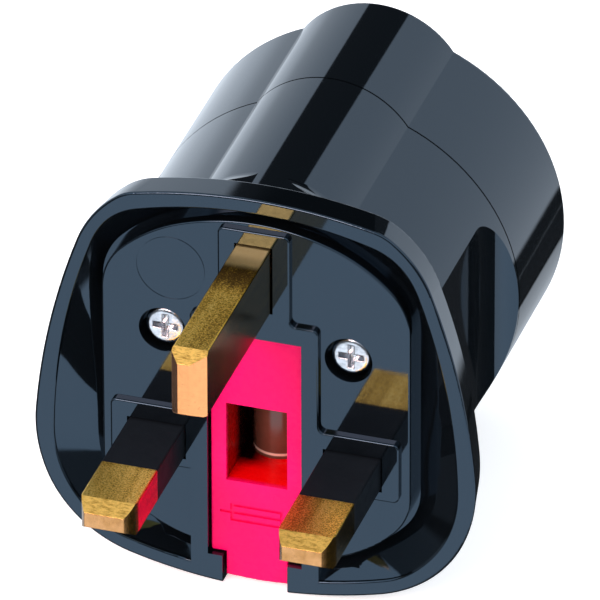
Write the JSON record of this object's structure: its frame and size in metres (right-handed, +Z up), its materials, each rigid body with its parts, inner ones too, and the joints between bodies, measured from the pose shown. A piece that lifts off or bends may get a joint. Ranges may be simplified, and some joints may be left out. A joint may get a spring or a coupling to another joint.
{
  "type": "travel adapter",
  "caption": "Mains travel adapter: rectangular plug pins on a wide flange at the front, a round recessed socket at the rear, and a pull-out fuse carrier between the pins.",
  "frame": {"origin": "centre of the bounding box's underside, on the surface the adapter lies on", "axes": "+Z up, the earth pin's side; +Y from the pins to the socket, so the pins point to -Y; +X to the right seen from the pins"},
  "size_m": [0.05, 0.068, 0.0493],
  "materials": {
    "black_plastic": "polished moulded black",
    "pin_brass": "drawn brass with a fine grain, coined ends bright",
    "sleeve_plastic": "satin black",
    "carrier_plastic": "satin pinkish red",
    "fuse_ceramic": "brown glaze",
    "nickel_plate": "nickel plated",
    "spring_brass": "rolled strip",
    "bracket_brass": "rolled strip, tinned",
    "rivet_steel": "plain",
    "insulator_plastic": "natural white",
    "shutter_plastic": "dark grey",
    "spring_steel": "bright wire",
    "screw_steel": "bright zinc"
  },
  "bodies": {
    "adapter": {"front_housing": "black_plastic", "rear_housing": "black_plastic", "earth_pin": "pin_brass", "line_pin": "pin_brass", "neutral_pin": "pin_brass", "line_pin_sleeve": "sleeve_plastic", "neutral_pin_sleeve": "sleeve_plastic", "supply_fuse_clip": "spring_brass", "load_fuse_clip": "spring_brass", "line_contact": "spring_brass", "neutral_contact": "spring_brass", "contact_rivets": "rivet_steel", "earth_bracket": "bracket_brass", "earth_rivet": "rivet_steel", "contact_block": "insulator_plastic", "shutter_spring": "spring_steel", "housing_screws": "screw_steel"},
    "carrier": {"fuse_carrier": "carrier_plastic", "fuse_body": "fuse_ceramic", "fuse_cap_upper": "nickel_plate", "fuse_cap_lower": "nickel_plate"},
    "shutter": {"shutter": "shutter_plastic"}
  },
  "joints": [
    {"name": "carrier_slide", "type": "slide", "parent": "adapter", "child": "carrier", "axis": [0, -1, 0], "range_m": [0, 0.013]},
    {"name": "shutter_slide", "type": "slide", "parent": "adapter", "child": "shutter", "axis": [0, 0, -1], "range_m": [0, 0.0056], "stiffness_N_per_m": 120, "springref_m": -0.004, "deforming": ["shutter_spring"]}
  ]
}
